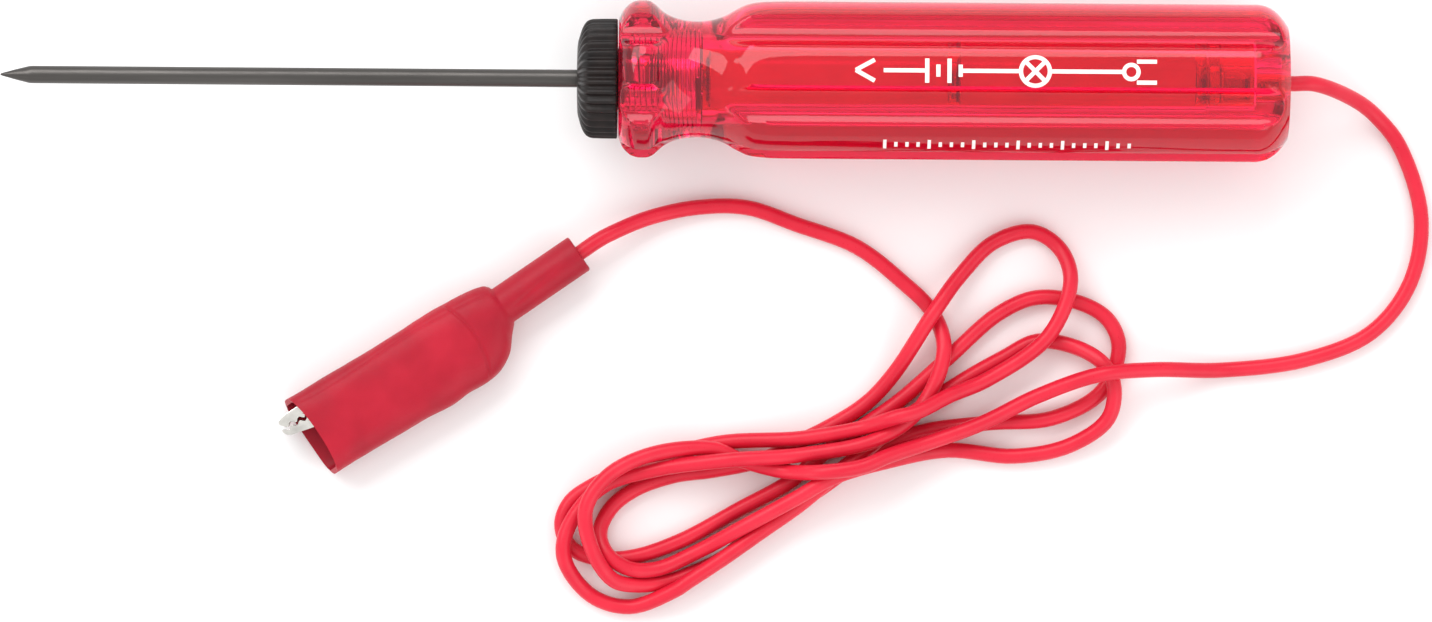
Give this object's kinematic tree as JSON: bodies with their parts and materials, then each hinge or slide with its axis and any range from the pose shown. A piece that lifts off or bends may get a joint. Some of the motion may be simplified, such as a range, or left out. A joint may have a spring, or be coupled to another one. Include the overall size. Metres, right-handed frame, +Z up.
{
  "type": "continuity tester",
  "caption": "Pocket continuity tester: fluted clear handle with cells and lamp, screw cap with a pointed probe, and a free lead to an insulated alligator clip.",
  "frame": {"origin": "under the middle of the tester's length, on the surface that it lies on, measured without the lead and clip", "axes": "+X from the probe's point towards the butt where the lead leaves, +Y away from the coiled lead, +Z up"},
  "size_m": [0.2597, 0.1111, 0.0285],
  "materials": {
    "clear_red_plastic": "polished transparent moulding",
    "black_plastic": "fine matt moulding",
    "dark_steel": "dark hardened steel with fine scratches",
    "spring_steel": "drawn",
    "brass": "turned",
    "nickel_plate": "bright nickel",
    "copper": "stranded copper",
    "solder": "dull solder",
    "cell_sleeve": "plain shrink sleeve",
    "lamp_glass": "clear",
    "red_vinyl": "soft dip-moulded vinyl",
    "red_insulation": "extruded insulation"
  },
  "bodies": {
    "handle": {"handle_shell": "clear_red_plastic", "cell_front_can": "spring_steel", "cell_front_negative_plate": "nickel_plate", "cell_front_sleeve": "cell_sleeve", "cell_rear_can": "spring_steel", "cell_rear_negative_plate": "nickel_plate", "cell_rear_sleeve": "cell_sleeve", "lamp_tip_contact": "solder", "lamp_base": "brass", "lamp_glass": "lamp_glass", "lamp_socket": "brass", "lead_terminal": "brass", "lead_core_at_lamp": "copper", "lead_wire": "red_insulation", "clip_fixed_jaw": "nickel_plate", "clip_pivot_pin": "nickel_plate", "clip_spring": "spring_steel", "clip_boot": "red_vinyl", "clip_crimp": "nickel_plate", "lead_core_at_clip": "copper"},
    "cap_travel": {"contact_spring": "spring_steel", "contact_button": "brass"},
    "cap": {"threaded_cap": "black_plastic", "probe_shank": "dark_steel", "probe_bushing": "brass"},
    "clip_jaw": {"clip_moving_jaw": "nickel_plate"}
  },
  "joints": [
    {"name": "cap_unscrew_travel", "type": "slide", "parent": "handle", "child": "cap_travel", "axis": [-1, 0, 0], "range_m": [0, 0.0145]},
    {"name": "cap_turn", "type": "hinge", "parent": "cap_travel", "child": "cap", "pos_m": [-0.00445, 0, 0.01425], "axis": [-1, 0, 0], "range_deg": [0, 5220]},
    {"name": "clip_open", "type": "hinge", "parent": "handle", "child": "clip_jaw", "pos_m": [-0.04652, -0.0552, 0.00485], "axis": [0, 0, 1], "range_deg": [0, 18], "stiffness_Nm_per_rad": 0.05, "springref_deg": -20.05, "deforming": ["clip_spring"]}
  ],
  "couplings": [
    {"joint": "cap_turn", "follows": "cap_unscrew_travel", "rad_per_m": 6283.2}
  ]
}
